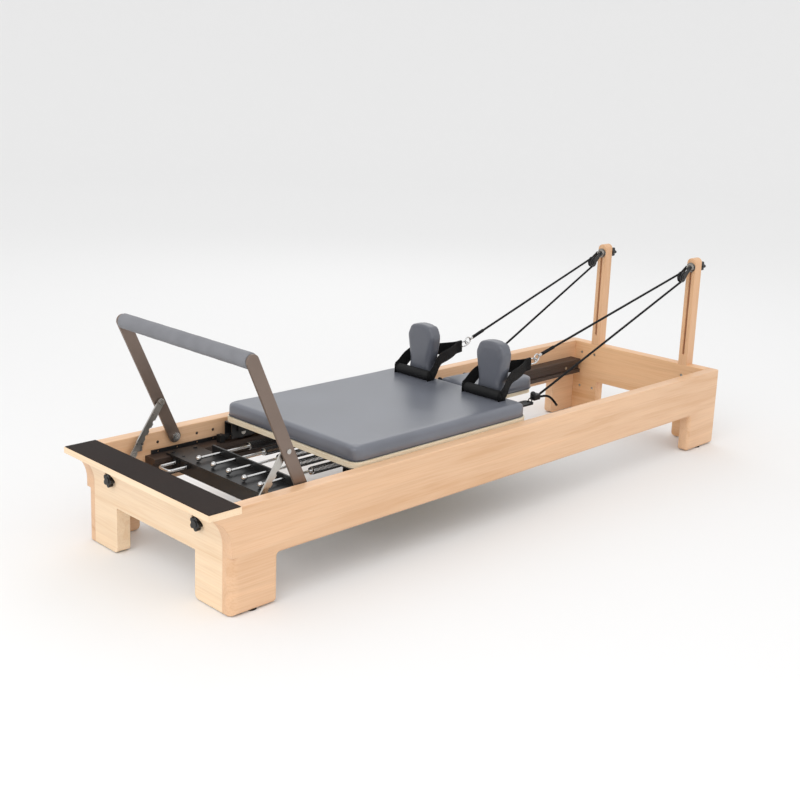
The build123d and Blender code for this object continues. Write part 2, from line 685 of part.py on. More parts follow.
def wheel(x, side):
    """A running wheel with a raised hub, on top of the track."""
    centre = (x, side * WHEEL_Y, AXLE_Z)
    tyre = rod("Y", centre, WHEEL_R, 20)
    tyre = fillet(tyre.edges(), 3)
    tyre += rod("Y", centre, 10, 28)
    for way in (-1, 1):
        face = (x, side * WHEEL_Y + way * 9, AXLE_Z)
        tyre -= rod("Y", face, 18, 4) - rod("Y", face, 11, 4)
    return tyre - rod("Y", centre, AXLE_R + RUN, 30)


def guide_roller(x, side):
    """A small roller that runs along the inner face of the rail."""
    centre = (x, side * ROLLER_Y, ROLLER_Z)
    body = fillet(rod("Z", centre, ROLLER_R, 16).edges(), 2)
    body += rod("Z", centre, 7, 24)
    return body - rod("Z", centre, ROLLER_PIN_R + RUN, 26)


def rest_bracket(side):
    """A long flat bar under the board with the socket of the shoulder rest."""
    y = side * REST_Y
    bar = block((1120, BRACKET_END), (y - 20, y + 20), (BOARD_Z - 6, BOARD_Z))
    bar = fillet(bar.edges().filter_by(Axis.Z).filter_by(lambda e: e.center().X > 1200), 14)
    bar -= rod("Z", (BRACKET_END - 12, y, BOARD_Z - 3), 6, 8)
    x0 = REST_FRONT + REST_T
    upright = (BOARD_Z, BOARD_Z + 34)
    slot_half = POST_HALF + 0.3
    wall = block((x0 - 1.4, x0 + POST_T + 5.5), (y - 25, y + 25), upright)
    wall -= block((x0 + 0.2, x0 + POST_T + 0.8), (y - slot_half, y + slot_half), upright)
    wall += rod("X", (x0 + POST_T + 7.5, y, BOARD_Z + 18), 8, 4)
    return bar + wall


def rest_post(side):
    """The flat steel post behind a shoulder rest."""
    y = side * REST_Y
    x0 = REST_FRONT + REST_T + 0.5
    post = block((x0, x0 + POST_T), (y - POST_HALF, y + POST_HALF), (BOARD_Z, POST_TOP))
    top = post.edges().filter_by(Axis.X).filter_by(lambda e: e.center().Z > POST_TOP - 2)
    post = fillet(top, 16)
    for z in POST_SCREW_Z:
        post += rod("X", (x0 + POST_T + 1.5, y, z), 6, 3)
    return post


def shoulder_pad(side):
    """The waisted upholstered pad of a shoulder rest."""
    y = side * REST_Y
    half = [(50, REST_Z), (47, 395), (61, 486), (46, 521)]
    outline = [*half, (0, 529), *[(-w, z) for w, z in reversed(half)]]
    wire = [Vector(REST_FRONT, y + w, z) for w, z in outline]
    radii = [8, 60, 34, 24, 90, 24, 34, 60, 8]
    face = make_face(FilletPolyline(*wire, radius=radii, close=True))
    pad = extrude(face, amount=REST_T, dir=(1, 0, 0))
    return fillet(pad.faces().sort_by(Axis.X)[0].edges(), 8)


def headrest_board():
    """The plywood board of the headrest."""
    x = (HEADREST_X[0] + 2, HEADREST_X[1] - 4)
    body = block(x, (-HEADREST_HALF + 3, HEADREST_HALF - 3), (BOARD_Z + 4, BOARD_TOP))
    head = body.edges().filter_by(Axis.Z).filter_by(lambda e: e.center().X > 1400)
    return fillet(head, 34)


def headrest_pad():
    """The upholstered pad of the headrest."""
    x = HEADREST_X
    body = block(x, (-HEADREST_HALF, HEADREST_HALF), (BOARD_TOP, PAD_TOP))
    uprights = body.edges().filter_by(Axis.Z)
    body = fillet(uprights.filter_by(lambda e: e.center().X > 1400), 38)
    foot = body.edges().filter_by(Axis.Z).filter_by(lambda e: e.center().X < HEADREST_X[0] + 1)
    body = fillet(foot, 8)
    return fillet(body.faces().sort_by(Axis.Z)[-1].edges(), 7)


def headrest_cheek(side):
    """The steel side plate of the headrest, with the hole for its hinge pin."""
    y = (side * (HEADREST_HALF + 0.4), side * (HEADREST_HALF + 3.2))
    x, z = HEADREST_PIVOT
    plate = block((x - 5, x + 110), y, (BOARD_Z + 4, BOARD_Z + 18))
    plate += block((x - 5, x + 8), y, (BOARD_Z + 4, z))
    plate += rod("Y", (x + 1.5, (y[0] + y[1]) / 2, z), 6.5, 2.8)
    lower = block((x - 3, x + 110), (side * 40, y[1]), (BOARD_Z + 1, BOARD_Z + 4))
    hinge_hole = rod("Y", (x, side * HEADREST_HALF, z), HEADREST_PIN_R + RUN, 20)
    return (plate + lower) - hinge_hole


def headrest_ear(side):
    """The fixed ear on the carriage with the hinge pin of the headrest."""
    y = (side * (HEADREST_HALF + 4), side * (HEADREST_HALF + 8))
    x, z = HEADREST_PIVOT
    ear = block((x - 6, x + 10), y, (BOARD_Z - 6, z))
    ear += rod("Y", (x + 1.5, (y[0] + y[1]) / 2, z), 6.5, 4)
    ear += block((1150, x + 10), (side * 80, y[1]), (BOARD_Z - 6, BOARD_Z))
    return ear + rod("Y", (x, side * (HEADREST_HALF + 4.4), z), HEADREST_PIN_R, 8)


# ---------------------------------------------------------------- ropes and handles
def ribbon(start, end, width, thick):
    """A flat strap between two points, its width close to upright."""
    run = Vector(*end) - Vector(*start)
    across = run.cross(Vector(0, 0, 1)).normalized()
    plane = Plane(origin=start, x_dir=across, z_dir=run)
    return plane * Pos(0, 0, run.length / 2) * Box(thick, width, run.length)


def handle_strap(side):
    """The webbing loop round a shoulder rest, from the grip to the D-ring."""
    y = side * REST_Y
    bend_x, bend_out, bend_z = STRAP_BEND
    strap = None
    for way in (-1, 1):
        front = (GRIP_X, y + way * 80, PAD_TOP + ROLL_R + 1)
        bend = (bend_x, y + way * bend_out, bend_z)
        tip = (RING_X - 6, y + way * 3, RING_Z)
        loop = ribbon(front, bend, STRAP_W - 8, 3) + ribbon(bend, tip, STRAP_W, 3)
        strap = loop if strap is None else strap + loop
    strap += ribbon((RING_X - 26, y, RING_Z - 2), (RING_X + 2, y, RING_Z), STRAP_W, 9)
    return strap - rod("Y", (RING_X - 2.8, y, RING_Z), RING_WIRE_R + 0.1, 40)


def handle_grip(side):
    """The foam roll of a hand strap, lying on the carriage pad."""
    y = side * REST_Y
    roll = rod("Y", (GRIP_X, y, PAD_TOP + ROLL_R + 0.5), ROLL_R, 150)
    return fillet(roll.edges(), 4)


def handle_ring(side):
    """The D-ring at the strap's end and the snap hook between it and the rope."""
    y = side * REST_Y
    bar_x = RING_X - 2.8
    d_ring = ring((RING_X + 12, y, RING_Z + 6), (0.38, 0, -0.92), 17, RING_WIRE_R)
    d_ring -= block((bar_x - 40, bar_x), (y - 30, y + 30), (RING_Z - 30, RING_Z + 40))
    d_ring += rod("Y", (bar_x, y, RING_Z), RING_WIRE_R, 20)
    hook = (RING_X + 34.1, y, RING_Z + 15)
    top = rope_ends(side)[0]
    snap = ring(hook, (0, 1, 0), 12.5, RING_WIRE_R)
    snap += rod_between((hook[0] + 12.5, y, hook[2] + 4.4), (top[0] - 1.6, y, top[2]), 4.6)
    return Compound([d_ring, snap])


def rope_ends(side):
    """Where a rope leaves its snap hook and where it enters its adjuster."""
    y = side * REST_Y
    top = (RING_X + 60, y, RING_Z + 24)
    low = (ADJUSTER_X, y, BOARD_Z + 16)
    return top, low


def rope_route(side):
    """The rope's points: hook, two corners round the sheave, adjuster."""
    top, low = rope_ends(side)
    y = side * RISER_Y
    cx, cz = SHEAVE
    out = atan2(cz + ROPE_BEND - top[2], cx - top[0])
    back = atan2(cz - ROPE_BEND - low[2], cx - low[0])
    middle = (out + back) / 2
    corners = []
    for lean, way in ((out, 1), (back, -1)):
        half = (pi / 2 - way * (middle - lean)) / 2
        reach = ROPE_BEND / cos(half)
        turn = middle + way * half
        corners.append((cx + reach * cos(turn), y, cz + reach * sin(turn)))
    return [top, *corners, low]


def rope_tail_route(side):
    """The loose end that leaves the adjuster and droops."""
    y = side * REST_Y
    x, z = ADJUSTER_X, BOARD_Z + 7
    return [
        (x, y, z),
        (x + 30, y + side * 4, z + 3),
        (x + 58, y + side * 14, z - 9),
        (x + 74, y + side * 24, z - 30),
    ]


def tube(points, radii, radius):
    """A round cord along straight runs joined by tangent arcs."""
    path = FilletPolyline(*points, radius=radii)
    section = Plane(origin=path @ 0, z_dir=path % 0) * Circle(radius)
    body = sweep(section, path=path)
    drift = body.volume / (pi * radius**2 * path.length)
    print(f"cord {path.length:.0f} mm, radii {[round(r, 1) for r in radii]}, volume ratio {drift:.4f}")
    return body


def rope(side):
    """One rope: the run over the pulley and the loose tail."""
    main = tube(rope_route(side), [ROPE_BEND - 0.1, ROPE_BEND - 0.1], ROPE_R)
    tail = tube(rope_tail_route(side), [24, 16], ROPE_R)
    sleeve = rod_between(rope_ends(side)[0], point_on(rope_route(side), 62), ROPE_R + 1.8)
    return Compound([main + sleeve, tail])


def point_on(route, distance):
    """A point on the first run of a route."""
    start, end = Vector(*route[0]), Vector(*route[1])
    return tuple(start + (end - start).normalized() * distance)


def rope_adjuster(side):
    """The cord lock on the bracket's end: a link, a body and a ball."""
    y = side * REST_Y
    x, z = BRACKET_END, BOARD_Z
    link = ring((x - 3, y, z + 1), (0, 1, 0), 10, 2)
    body = block((x + 8, x + 42), (y - 11, y + 11), (z + 1, z + 22))
    body = fillet(body.edges(), 4)
    ball = Pos(x + 12, y, z + 23) * Sphere(9.5)
    return link + body + ball


# ---------------------------------------------------------------- the nodes
def nodes():
    """Every node by name."""
    made = {
        "foot_end_panel": foot_end_panel(),
        "head_end_panel": head_end_panel(),
        "platform_board": platform_board(),
        "platform_grip_pad": platform_grip_pad(),
        "frame_fasteners": frame_fasteners(),
        "leg_glides": leg_glides(),
        "footbar_pivot_bolts": both(pivot_bolt),
        "strut_rest_pins": both(strut_rest_pin),
        "index_plates": both(index_plate),
        "carriage_bumpers": carriage_bumpers(),
        "tension_springs": tension_springs(),
        "spring_bar": spring_bar(),
        "spring_bar_handle": spring_bar_handle(),
        "footbar_arms": both(footbar_arm),
        "footbar_tube": footbar_tube(),
        "footbar_grip": footbar_grip(),
        "footbar_struts": both(footbar_strut),
        "carriage_board": carriage_board(),
        "carriage_pad": carriage_pad(),
        "carriage_underframe": carriage_underframe(),
        "wheel_axles": wheel_axles(),
        "rest_brackets": both(rest_bracket),
        "headrest_board": headrest_board(),
        "headrest_pad": headrest_pad(),
        "headrest_cheeks": both(headrest_cheek),
        "headrest_ears": both(headrest_ear),
        "rope_adjusters": both(rope_adjuster),
        "handle_grips": both(handle_grip),
        "handle_straps": both(handle_strap),
        "handle_rings": both(handle_ring),
    }
    for name, side in SIDES.items():
        made[f"side_rail_{name}"] = side_rail(side)
        made[f"track_{name}"] = track(side)
        made[f"riser_post_{name}"] = riser_post(side)
        made[f"riser_bolt_{name}"] = riser_bolt(side)
        made[f"riser_knob_{name}"] = riser_knob(side)
        made[f"pulley_block_{name}"] = pulley_block(side)
        made[f"pulley_sheave_{name}"] = pulley_sheave(side)
        made[f"platform_knob_{name}"] = platform_knob(side)
        made[f"shoulder_pad_{name}"] = shoulder_pad(side)
        made[f"rest_post_{name}"] = rest_post(side)
        made[f"rope_{name}"] = rope(side)
        for end, wheel_x, roller_x in zip(("foot", "head"), WHEEL_X, ROLLER_X):
            made[f"wheel_{end}_{name}"] = wheel(wheel_x, side)
            made[f"guide_roller_{end}_{name}"] = guide_roller(roller_x, side)
    return made


def main():
    os.makedirs("parts", exist_ok=True)
    for name, shape in nodes().items():
        export_step(Pos(FOOT_X, 0, 0) * shape, f"parts/{name}.step")


main()
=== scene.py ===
"""Looks of the pilates reformer: lacquered maple, vinyl pads, black steel, braided ropes.

Metres, +X towards the head end (rope pulleys), +Z up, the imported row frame.
"""
import math

import bmesh
import bpy
from mathutils import Matrix, Vector


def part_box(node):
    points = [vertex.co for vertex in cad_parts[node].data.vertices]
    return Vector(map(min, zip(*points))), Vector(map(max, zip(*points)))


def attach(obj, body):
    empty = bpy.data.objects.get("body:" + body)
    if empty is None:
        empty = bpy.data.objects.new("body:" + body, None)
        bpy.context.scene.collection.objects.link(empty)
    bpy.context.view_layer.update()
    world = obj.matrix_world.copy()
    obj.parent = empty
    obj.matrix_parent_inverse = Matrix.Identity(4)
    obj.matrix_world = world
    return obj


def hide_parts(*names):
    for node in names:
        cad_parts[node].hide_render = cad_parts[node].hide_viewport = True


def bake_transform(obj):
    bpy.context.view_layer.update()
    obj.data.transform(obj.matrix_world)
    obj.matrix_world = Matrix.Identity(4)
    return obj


SIDES = {"right": -1, "left": 1}
ENDS = ("foot", "head")

# Places along X are from the outer face of the foot-end legs, as at() takes them.
FOOT_X = -1.14125                   # that face in the row frame, whose origin is mid-length
REST_Y = 0.157                      # shoulder rests, hand straps and rope adjusters, off the centre line
RISER_Y = 0.207                     # riser posts and their pulleys
BOARD_Z = 0.286                     # top of the carriage board

ROPE_R = 0.004
SHEAVE = (2.213, 0.645)             # X and Z of the sheaves
ROPE_BEND = 0.0172                  # radius of the rope's middle on a sheave
SHEAVE_ROPE = 0.16                  # length of each strand beside a sheave
ROPE_SLEEVE = 0.062                 # covered length at the D-ring's hook
HOOK_REACH = (0.06, 0.024)          # X and Z from the D-ring to the rope's end
ADJUSTER_X = 1.4454                 # where the rope enters its cord lock
ROPE_IN, ROPE_OUT = 0.016, 0.007    # heights of its ends in the cord lock, over the board

RING_X, RING_Z = 1.386, 0.421
GRIP_X = 1.152                      # hand rolls
ROLL_Z = 0.3625
ROLL = (0.017, 0.004, 0.150)        # radius, bore and length
STRAP_W = 0.041                     # webbing of the hand straps
STRAP_THICK = 0.0026
STRAP_EDGE = 0.0785                 # roll's centre to the strap's turned end

FOOTBAR = (0.096, 0.648)            # X and Z of the cross tube
SLEEVE = (0.022, 0.0161, 0.584)     # radius, bore and length
ROLL_LIP = 0.005                    # rounding at the ends of foam rolls

PUFF = 0.0022                       # the furthest that a pad's cover may swell
CLOTH_FRAMES = 14
SEAM_R = 0.0011

SPRING_Y = (-0.144, -0.072, 0.0, 0.072, 0.144)
SPRING_Z = 0.246
COIL = (0.431, 0.625)               # X of the coils' ends
COIL_R = 0.0105
COIL_TURNS = 42
BALL_X, BALL_R = 0.248, 0.009
ROD_R = 0.004
COLLAR_R = 0.011

ARM_FACES = (0.293, 0.301)          # |Y| of the footbar arms' flat faces
MARK_X = (0.214, 0.282, 0.355, 0.415)
MARK_Y, MARK_Z = 0.3048, 0.262
MARK_R = 0.0045


# ---------------------------------------------------------------- camera
def make_camera():
    """A long lens a little above the machine, from its foot end and right side."""
    yaw, pitch, roll = math.radians(45.4), math.radians(12.9), math.radians(2.2)
    ahead = Vector((math.sin(yaw) * math.cos(pitch), math.cos(yaw) * math.cos(pitch), -math.sin(pitch)))
    right = Vector((math.cos(yaw), -math.sin(yaw), 0))
    up = right.cross(ahead)
    rolled_right = right * math.cos(roll) + up * math.sin(roll)
    rolled_up = up * math.cos(roll) - right * math.sin(roll)
    turn = Matrix((rolled_right, rolled_up, -ahead)).transposed().to_4x4()
    data = bpy.data.cameras.new("camera")
    camera = bpy.data.objects.new("camera", data)
    bpy.context.scene.collection.objects.link(camera)
    camera.matrix_world = Matrix.Translation((-2.8125, -2.5522, 1.3685)) @ turn
    data.lens = 52.98
    data.sensor_width = 36
    data.shift_y = -0.075
    data.clip_end = 60
    bpy.context.scene.camera = camera


# ---------------------------------------------------------------- materials
class Shader:
    """A material's node tree, built by short calls."""

    def __init__(self, name, roughness=0.5, metallic=0.0, coat=0.0):
        self.material = bpy.data.materials.new(name)
        self.material.use_nodes = True
        self.tree = self.material.node_tree
        self.surface = self.tree.nodes["Principled BSDF"]
        self.set("Roughness", roughness)
        self.set("Metallic", metallic)
        self.set("Coat Weight", coat)
        self.where = self.node("ShaderNodeTexCoord").outputs["Object"]

    def node(self, kind, **settings):
        """A new node with these settings."""
        node = self.tree.nodes.new(kind)
        for key, value in settings.items():
            setattr(node, key, value)
        return node

    def link(self, source, target):
        self.tree.links.new(source, target)

    def set(self, socket, value):
        """A fixed value on the surface."""
        self.surface.inputs[socket].default_value = value

    def stretched(self, scale):
        """The object's own coordinates, scaled on each axis."""
        mapping = self.node("ShaderNodeMapping")
        mapping.inputs["Scale"].default_value = scale
        self.link(self.where, mapping.inputs["Vector"])
        return mapping.outputs["Vector"]

    def noise(self, scale, detail, vector=None, distortion=0.0):
        noise = self.node("ShaderNodeTexNoise")
        noise.inputs["Scale"].default_value = scale
        noise.inputs["Detail"].default_value = detail
        noise.inputs["Distortion"].default_value = distortion
        self.link(vector or self.where, noise.inputs["Vector"])
        return noise.outputs["Fac"]

    def ramp(self, factor, *stops):
        """Colours at places from 0 to 1."""
        ramp = self.node("ShaderNodeValToRGB")
        band = ramp.color_ramp
        while len(band.elements) < len(stops):
            band.elements.new(0.5)
        for element, (place, colour) in zip(band.elements, stops):
            element.position = place
            element.color = (*colour, 1)
        self.link(factor, ramp.inputs["Fac"])
        return ramp.outputs["Color"]

    def mix(self, factor, a, b, how="MIX"):
        """One colour over another; each may be a socket or a value."""
        mix = self.node("ShaderNodeMix", data_type="RGBA", blend_type=how)
        for socket, value in ((mix.inputs["Factor"], factor), (mix.inputs[6], a), (mix.inputs[7], b)):
            if isinstance(value, bpy.types.NodeSocket):
                self.link(value, socket)
            elif isinstance(value, tuple):
                socket.default_value = (*value, 1)
            else:
                socket.default_value = value
        return mix.outputs[2]

    def math(self, how, a, b=0.0):
        """A sum on sockets or numbers."""
        node = self.node("ShaderNodeMath", operation=how)
        for socket, value in zip(node.inputs, (a, b)):
            if isinstance(value, bpy.types.NodeSocket):
                self.link(value, socket)
            else:
                socket.default_value = value
        return node.outputs[0]

    def colour(self, value):
        if isinstance(value, bpy.types.NodeSocket):
            self.link(value, self.surface.inputs["Base Color"])
        else:
            self.set("Base Color", (*value, 1))

    def roughness(self, factor, low, high):
        """Gloss that varies between two values."""
        span = self.node("ShaderNodeMapRange")
        span.inputs["To Min"].default_value = low
        span.inputs["To Max"].default_value = high
        self.link(factor, span.inputs["Value"])
        self.link(span.outputs["Result"], self.surface.inputs["Roughness"])

    def bump(self, height, distance, strength, edge=0.0):
        """Fine relief, on top of softened edges where edge is over 0."""
        bump = self.node("ShaderNodeBump")
        bump.inputs["Distance"].default_value = distance
        bump.inputs["Strength"].default_value = strength
        self.link(height, bump.inputs["Height"])
        if edge:
            bevel = self.node("ShaderNodeBevel", samples=4)
            bevel.inputs["Radius"].default_value = edge
            self.link(bevel.outputs["Normal"], bump.inputs["Normal"])
        self.link(bump.outputs["Normal"], self.surface.inputs["Normal"])


def shade(base, times):
    """A colour made lighter or darker, no brighter than 1."""
    return tuple(min(1, c * times) for c in base)


def wood(name, along, light=(0.81, 0.53, 0.33), dark=(0.745, 0.455, 0.258)):
    """Satin maple whose grain runs along one axis."""
    s = Shader(name, coat=0.12)
    s.set("Coat Roughness", 0.3)
    broad = [0.55 if axis == along else 9.0 for axis in "xyz"]
    fine = [6.0 if axis == along else 220.0 for axis in "xyz"]
    bands = s.noise(1.7, 5, s.stretched(broad), 1.4)
    tone = s.ramp(bands, (0.3, dark), (0.46, light), (0.62, shade(light, 1.06)))
    streaks = s.noise(1.0, 3, s.stretched(fine), 0.2)
    flecks = s.ramp(streaks, (0.35, (0.95, 0.91, 0.87)), (0.55, (1, 1, 1)))
    clouds = s.ramp(s.noise(2.2, 2), (0.3, (0.95, 0.92, 0.88)), (0.7, (1, 1, 1)))
    s.colour(s.mix(1.0, s.mix(1.0, tone, flecks, "MULTIPLY"), clouds, "MULTIPLY"))
    s.roughness(streaks, 0.36, 0.5)
    s.bump(streaks, 0.0002, 0.35, edge=0.0016)
    return s.material


def plywood(name):
    """Pale board whose edges show its layers."""
    s = Shader(name, roughness=0.5)
    split = s.node("ShaderNodeSeparateXYZ")
    s.link(s.where, split.inputs[0])
    layer = s.math("FRACT", s.math("MULTIPLY", split.outputs["Z"], 375.0))
    dark = s.math("GREATER_THAN", layer, 0.55)
    grain = s.noise(1.0, 3, s.stretched((30, 30, 220)))
    pale = s.ramp(grain, (0.3, (0.9, 0.77, 0.55)), (0.7, (0.97, 0.88, 0.7)))
    s.colour(s.mix(s.math("MULTIPLY", dark, 0.45), pale, (0.5, 0.34, 0.2)))
    s.bump(grain, 0.0003, 0.4, edge=0.001)
    return s.material


def vinyl(name, base, roughness):
    """Upholstery with a fine embossed grain and slight unevenness."""
    s = Shader(name)
    s.set("Specular IOR Level", 0.8)
    soft = s.noise(5.0, 3)
    cells = s.node("ShaderNodeTexVoronoi", feature="DISTANCE_TO_EDGE")
    cells.inputs["Scale"].default_value = 2600 / 3
    s.link(s.where, cells.inputs["Vector"])
    s.colour(s.ramp(soft, (0.35, shade(base, 0.92)), (0.65, shade(base, 1.1))))
    s.roughness(soft, roughness - 0.05, roughness + 0.07)
    s.bump(cells.outputs["Distance"], 0.00012, 0.5)
    return s.material


def foam(name, base, shine=0.4):
    """Closed-cell foam, rubber or piping with a fine grain."""
    s = Shader(name)
    s.set("Specular IOR Level", shine)
    grain = s.noise(1500.0, 3)
    wear = s.noise(14.0, 3)
    s.colour(s.ramp(wear, (0.3, shade(base, 0.9)), (0.7, shade(base, 1.08))))
    s.roughness(wear, 0.52, 0.68)
    s.bump(grain, 0.00025, 0.5)
    return s.material


def metal(name, base, roughness, metallic=1.0, brushed=(60, 60, 60)):
    """Bare, plated or anodised metal with uneven gloss."""
    s = Shader(name, metallic=metallic)
    streak = s.noise(1.0, 4, s.stretched(brushed))
    stain = s.noise(8.0, 3)
    s.colour(s.ramp(stain, (0.3, shade(base, 0.9)), (0.7, shade(base, 1.05))))
    s.roughness(streak, max(0.03, roughness - 0.06), roughness + 0.08)
    s.bump(streak, 0.00006, 0.3, edge=0.0008)
    return s.material


def powder(name, base):
    """Powder-coated steel with a faint orange peel."""
    s = Shader(name)
    peel = s.noise(900.0, 2)
    wear = s.noise(12.0, 4)
    s.colour(s.ramp(wear, (0.35, base), (0.75, shade(base, 1.35))))
    s.roughness(wear, 0.36, 0.5)
    s.bump(peel, 0.00012, 0.4, edge=0.0009)
    return s.material


def plastic(name, base, roughness=0.45):
    """Moulded plastic."""
    s = Shader(name)
    fine = s.noise(700.0, 2)
    s.colour(s.ramp(s.noise(20.0, 2), (0.3, base), (0.7, shade(base, 1.2))))
    s.roughness(fine, roughness - 0.05, roughness + 0.06)
    s.bump(fine, 0.00008, 0.4, edge=0.0008)
    return s.material


def pebbled(name, base):
    """Non-slip sheet with small round studs."""
    s = Shader(name)
    studs = s.node("ShaderNodeTexVoronoi", feature="F1")
    studs.inputs["Scale"].default_value = 330.0
    studs.inputs["Randomness"].default_value = 0.4
    s.link(s.where, studs.inputs["Vector"])
    height = s.math("SUBTRACT", 1.0, studs.outputs["Distance"])
    dust = s.noise(9.0, 4)
    s.colour(s.ramp(dust, (0.3, base), (0.75, shade(base, 1.5))))
    s.set("Specular IOR Level", 0.2)
    s.roughness(dust, 0.66, 0.82)
    s.bump(height, 0.0007, 0.6)
    return s.material


def woven(name, base, thread=0.0016):
    """Webbing or braid: a pattern of raised threads, with painted shade in the grooves and a painted
    highlight on their tops. It needs UVs in metres.
    """
    s = Shader(name, roughness=0.75)
    s.set("Specular IOR Level", 0.2)
    s.where = s.node("ShaderNodeTexCoord").outputs["UV"]
    split = s.node("ShaderNodeSeparateXYZ")
    s.link(s.where, split.inputs[0])
    turns = 2 * math.pi / thread
    ribs = s.math("SINE", s.math("MULTIPLY", split.outputs["X"], turns))
    lines = s.math("SINE", s.math("MULTIPLY", split.outputs["Y"], turns))
    height = s.math("MULTIPLY", ribs, lines)
    # The colour follows the threads' height: painted shade low down and a painted highlight on the tops.
    s.colour(s.ramp(height, (0.2, shade(base, 0.5)), (0.8, shade(base, 1.5))))
    s.bump(height, 0.0004, 0.8)
    return s.material


MATERIALS = {
    # One maple in four tones. The paler tone of the foot panel and platform board is painted light, and
    # the darker tones of the head panel and riser posts are painted shade.
    "rail_x": wood("maple_along_x", "x"),
    "panel_y": wood("maple_along_y_painted_light", "y", (0.935, 0.725, 0.505), (0.88, 0.64, 0.405)),
    "head_y": wood("maple_head_panel_painted_shade", "y", (0.82, 0.51, 0.285), (0.75, 0.43, 0.215)),
    "post_z": wood("maple_along_z_painted_shade", "z", (0.76, 0.47, 0.27), (0.68, 0.39, 0.2)),
    "ply": plywood("plywood"),
    "track": metal("brown_anodised", (0.055, 0.036, 0.028), 0.46, 0.3, (2, 200, 200)),
    "black": powder("black_steel", (0.009, 0.009, 0.0095)),
    "arm": metal("warm_grey_metal", (0.23, 0.175, 0.145), 0.34, 0.7),
    "zinc": metal("zinc_plate", (0.5, 0.485, 0.455), 0.28),
    "bright": metal("turned_steel", (0.55, 0.54, 0.52), 0.24),
    "bolt": metal("dark_bolt_steel", (0.3, 0.28, 0.255), 0.28),
    "spring": metal("black_spring_steel", (0.03, 0.03, 0.031), 0.3, 0.6),
    "chrome": metal("chrome_plate", (0.62, 0.62, 0.62), 0.12),
    "vinyl": vinyl("grey_vinyl", (0.129, 0.138, 0.165), 0.29),
    # The shoulder rests' vinyl is a darker copy of the pads' grey, and the difference is painted shade.
    "vinyl_rest": vinyl("grey_vinyl_painted_shade", (0.1, 0.107, 0.13), 0.33),
    "foam": foam("grey_foam", (0.21, 0.213, 0.23)),
    "black_foam": foam("black_foam", (0.007, 0.007, 0.0075), 0.25),
    "rubber": foam("black_rubber", (0.01, 0.01, 0.01), 0.25),
    "studs": pebbled("dark_grip_sheet", (0.019, 0.0125, 0.0105)),
    "knob": plastic("black_plastic", (0.009, 0.009, 0.0095)),
    "wheel": plastic("wheel_urethane", (0.03, 0.03, 0.032), 0.38),
    "webbing": woven("black_webbing", (0.009, 0.009, 0.0095)),
    "rope": woven("rope_braid", (0.014, 0.014, 0.015), 0.0032),
    "seam": foam("seam_piping", (0.06, 0.065, 0.08)),
    "mark": plastic("mark_paint", (0.05, 0.03, 0.02), 0.6),
}

# CAD nodes by finish.
NODE_LOOKS = {
    "rail_x": [f"side_rail_{n}" for n in SIDES],
    "panel_y": ["foot_end_panel", "platform_board"],
    "head_y": ["head_end_panel"],
    "post_z": [f"riser_post_{n}" for n in SIDES],
    "ply": ["carriage_board", "headrest_board"],
    "track": [f"track_{n}" for n in SIDES],
    "black": ["spring_bar", "carriage_underframe", "rest_brackets", "index_plates", "headrest_ears"]
    + ["headrest_cheeks"]
    + [f"rest_post_{n}" for n in SIDES],
    "arm": ["footbar_arms", "footbar_tube"],
    "zinc": ["frame_fasteners", "wheel_axles", "footbar_struts", "strut_rest_pins"],
    "bright": ["footbar_pivot_bolts"],
    "chrome": ["spring_bar_handle", "handle_rings"],
    "bolt": [f"riser_bolt_{n}" for n in SIDES],
    "rubber": ["carriage_bumpers", "leg_glides"],
    "studs": ["platform_grip_pad"],
    "knob": ["rope_adjusters"]
    + [f"{kind}_{n}" for kind in ("platform_knob", "riser_knob", "pulley_block") for n in SIDES],
    "wheel": [f"pulley_sheave_{n}" for n in SIDES]
    + [f"{kind}_{end}_{n}" for kind in ("wheel", "guide_roller") for end in ENDS for n in SIDES],
}


def paint(obj, look):
    """One finish over the whole piece."""
    obj.data.materials.clear()
    obj.data.materials.append(MATERIALS[look])


def dress(obj, look, body):
    """Finish, material slot and body of a piece made here."""
    paint(obj, look)
    if body:
        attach(obj, body)
    return obj


# ---------------------------------------------------------------- geometry helpers
def new_object(name, bm):
    """A smooth-shaded object from a bmesh, which is freed."""
    mesh = bpy.data.meshes.new(name)
    bm.to_mesh(mesh)
    bm.free()
    obj = bpy.data.objects.new(name, mesh)
    bpy.context.scene.collection.objects.link(obj)
    mesh.shade_smooth()
    return obj


def copy_of(node, name):
    """A free copy of a CAD node's mesh."""
    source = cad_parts[node]
    obj = bpy.data.objects.new(name, source.data.copy())
    bpy.context.scene.collection.objects.link(obj)
    return obj


def apply_modifiers(obj):
    """The modifiers' result becomes the mesh."""
    bpy.context.view_layer.update()
    shape = obj.evaluated_get(bpy.context.evaluated_depsgraph_get())
    mesh = bpy.data.meshes.new_from_object(shape)
    obj.modifiers.clear()
    obj.data = mesh


def at(x, y, z):
    """A point given from the foot-end leg face."""
    return Vector((x + FOOT_X, y, z))


def run(start, end, step=0.012):
    """Close points along a straight strand."""
    count = max(1, math.ceil((end - start).length / step))
    return [start.lerp(end, k / count) for k in range(count + 1)]


def nurbs_route(points):
    """The smooth line of a free cord, read from a NURBS spline with these control points."""
    curve = bpy.data.curves.new("route", "CURVE")
    curve.dimensions = "3D"
    line = curve.splines.new("NURBS")
    line.points.add(len(points) - 1)
    for control, place in zip(line.points, points):
        control.co = (*place, 1)
    line.order_u = 3
    line.use_endpoint_u = True
    carrier = bpy.data.objects.new("route", curve)
    mesh = bpy.data.meshes.new_from_object(carrier)
    route = [v.co.copy() for v in mesh.vertices]
    bpy.data.objects.remove(carrier)
    bpy.data.meshes.remove(mesh)
    return route


